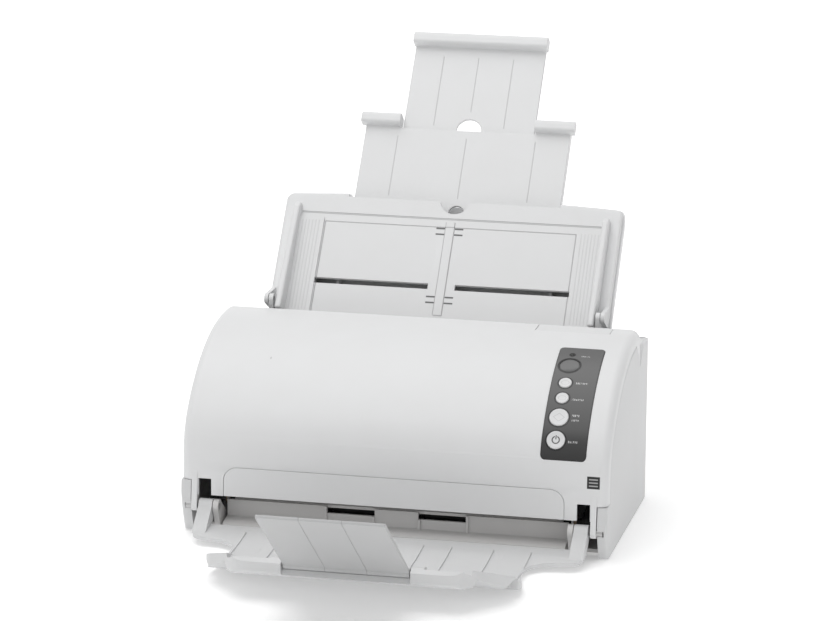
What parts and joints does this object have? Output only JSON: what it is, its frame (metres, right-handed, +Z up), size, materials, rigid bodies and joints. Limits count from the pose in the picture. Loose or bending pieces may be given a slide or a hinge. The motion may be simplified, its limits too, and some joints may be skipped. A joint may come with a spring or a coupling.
{
  "type": "sheet fed document scanner",
  "caption": "Desktop sheet fed document scanner with a folding paper chute, sliding extensions, side guides, an opening front cover and a fold-down stacker with a flap.",
  "frame": {"origin": "on the desk, in the middle of the casing's footprint", "axes": "+X to the right seen from the front, +Y to the rear, +Z up"},
  "size_m": [0.292, 0.4909, 0.3009],
  "materials": {
    "casing_white": "fine moulded grain",
    "chute_grey": "fine moulded grain",
    "stacker_grey": "fine moulded grain",
    "base_grey": "fine moulded grain",
    "panel_dark": "satin film",
    "key_grey": "satin",
    "window_dark": "smoked lens",
    "lamp_green": "clear lens",
    "sensor_black": "matt",
    "sensor_glass": "clear",
    "steel": "plated",
    "brass": "sintered",
    "board_green": "solder mask",
    "socket_metal": "plated",
    "socket_black": "moulded",
    "motor_metal": "zinc plated",
    "belt_black": "matt",
    "roller_rubber": "ground",
    "shaft_black": "moulded",
    "gear_white": "acetal",
    "foot_rubber": "matt"
  },
  "bodies": {
    "base": {"base_tray": "base_grey", "left_side_cover": "casing_white", "right_side_cover": "casing_white", "rear_cover": "casing_white", "paper_guide": "base_grey", "rear_scan_unit": "sensor_black", "rear_scan_glass": "sensor_glass", "left_frame_plate": "steel", "right_frame_plate": "steel", "shaft_bushes": "brass", "main_board": "board_green", "usb_socket": "socket_metal", "dc_inlet": "socket_black", "drive_motor": "motor_metal", "drive_belt": "belt_black", "feed_belt": "belt_black", "rubber_feet": "foot_rubber", "chassis_screws": "steel", "chute_hinge_pins": "steel", "stacker_pins": "steel"},
    "cover": {"front_cover": "casing_white", "lower_front_panel": "casing_white", "inner_cover_guide": "base_grey", "front_scan_unit": "sensor_black", "front_scan_glass": "sensor_glass", "control_panel": "panel_dark", "panel_board": "board_green", "display_window": "window_dark", "check_lamp": "lamp_green", "cover_hinge_pins": "steel"},
    "brake_roller": {"brake_roller": "roller_rubber"},
    "pinch_roller": {"pinch_roller": "roller_rubber"},
    "release_lever": {"release_lever": "casing_white"},
    "function_button": {"function_button": "key_grey"},
    "send_button": {"send_button": "key_grey"},
    "scan_button": {"scan_button": "key_grey"},
    "power_button": {"power_button": "key_grey"},
    "pick_shaft": {"pick_shaft": "shaft_black", "pick_rubber": "roller_rubber"},
    "feed_shaft": {"feed_shaft": "shaft_black", "feed_rubber": "roller_rubber"},
    "eject_shaft": {"eject_shaft": "shaft_black", "eject_rubber": "roller_rubber"},
    "motor_pulley": {"motor_pulley": "gear_white"},
    "chute": {"chute_rear_shell": "chute_grey", "chute_bed": "chute_grey"},
    "left_guide": {"left_guide": "chute_grey"},
    "right_guide": {"right_guide": "chute_grey"},
    "guide_pinion": {"guide_pinion": "gear_white"},
    "extension_1": {"extension_1": "chute_grey"},
    "extension_2": {"extension_2": "chute_grey"},
    "stacker": {"stacker_tray": "stacker_grey", "flap_pin": "steel"},
    "stacker_flap": {"stacker_flap": "stacker_grey"}
  },
  "joints": [
    {"name": "cover_hinge", "type": "hinge", "parent": "base", "child": "cover", "pos_m": [0, -0.0782, 0.0202], "axis": [-1, 0, 0], "range_deg": [-52, 0]},
    {"name": "brake_spin", "type": "hinge", "parent": "cover", "child": "brake_roller", "pos_m": [0, 0.03116, 0.11002], "axis": [1, 0, 0], "continuous": true},
    {"name": "pinch_spin", "type": "hinge", "parent": "cover", "child": "pinch_roller", "pos_m": [0, 0.0255, 0.09727], "axis": [1, 0, 0], "continuous": true},
    {"name": "lever_hinge", "type": "hinge", "parent": "cover", "child": "release_lever", "pos_m": [0, 0.0226, 0.1296], "axis": [1, 0, 0], "range_deg": [0, 14], "stiffness_Nm_per_rad": 0.02, "springref_deg": -20.05},
    {"name": "chute_fold", "type": "hinge", "parent": "base", "child": "chute", "pos_m": [0, 0.04747, 0.1355], "axis": [1, 0, 0], "range_deg": [0, 134]},
    {"name": "right_guide_slide", "type": "slide", "parent": "chute", "child": "right_guide", "axis": [-1, 0, 0], "range_m": [0, 0.08]},
    {"name": "left_guide_slide", "type": "slide", "parent": "chute", "child": "left_guide", "axis": [1, 0, 0], "range_m": [0, 0.08]},
    {"name": "pinion_spin", "type": "hinge", "parent": "chute", "child": "guide_pinion", "pos_m": [0, 0.07685, 0.14063], "axis": [0, -0.7826, 0.6225], "range_deg": [-600, 0]},
    {"name": "extension_1_slide", "type": "slide", "parent": "chute", "child": "extension_1", "axis": [0, -0.6225, -0.7826], "range_m": [0, 0.056]},
    {"name": "extension_2_slide", "type": "slide", "parent": "extension_1", "child": "extension_2", "axis": [0, -0.6225, -0.7826], "range_m": [0, 0.058]},
    {"name": "stacker_fold", "type": "hinge", "parent": "base", "child": "stacker", "pos_m": [0, -0.0782, 0.0202], "axis": [-1, 0, 0], "range_deg": [0, 90]},
    {"name": "flap_fold", "type": "hinge", "parent": "stacker", "child": "stacker_flap", "pos_m": [0, -0.209, 0.0256], "axis": [-1, 0, 0], "range_deg": [0, 150]},
    {"name": "pick_spin", "type": "hinge", "parent": "base", "child": "pick_shaft", "pos_m": [0, 0.04548, 0.09863], "axis": [1, 0, 0], "continuous": true},
    {"name": "motor_spin", "type": "hinge", "parent": "base", "child": "motor_pulley", "pos_m": [0, 0.04, 0.024], "axis": [1, 0, 0], "continuous": true},
    {"name": "eject_spin", "type": "hinge", "parent": "base", "child": "eject_shaft", "pos_m": [0, -0.052, 0.01923], "axis": [1, 0, 0], "continuous": true},
    {"name": "feed_spin", "type": "hinge", "parent": "base", "child": "feed_shaft", "pos_m": [0, 0.03551, 0.08931], "axis": [1, 0, 0], "continuous": true},
    {"name": "function_press", "type": "slide", "parent": "cover", "child": "function_button", "axis": [0, 0.5435, -0.8394], "range_m": [0, 0.0008], "stiffness_N_per_m": 600, "springref_m": -0.0008},
    {"name": "send_press", "type": "slide", "parent": "cover", "child": "send_button", "axis": [0, 0.628, -0.7782], "range_m": [0, 0.0008], "stiffness_N_per_m": 600, "springref_m": -0.0008},
    {"name": "scan_press", "type": "slide", "parent": "cover", "child": "scan_button", "axis": [0, 0.7174, -0.6967], "range_m": [0, 0.0008], "stiffness_N_per_m": 600, "springref_m": -0.0008},
    {"name": "power_press", "type": "slide", "parent": "cover", "child": "power_button", "axis": [0, 0.8517, -0.524], "range_m": [0, 0.0008], "stiffness_N_per_m": 600, "springref_m": -0.0008}
  ],
  "couplings": [
    {"joint": "left_guide_slide", "follows": "right_guide_slide", "ratio": 1},
    {"joint": "pinion_spin", "follows": "right_guide_slide", "rad_per_m": -125},
    {"joint": "motor_spin", "follows": "pick_spin", "ratio": 1.6},
    {"joint": "eject_spin", "follows": "pick_spin", "ratio": 1.6},
    {"joint": "feed_spin", "follows": "pick_spin", "ratio": 1.1429}
  ]
}
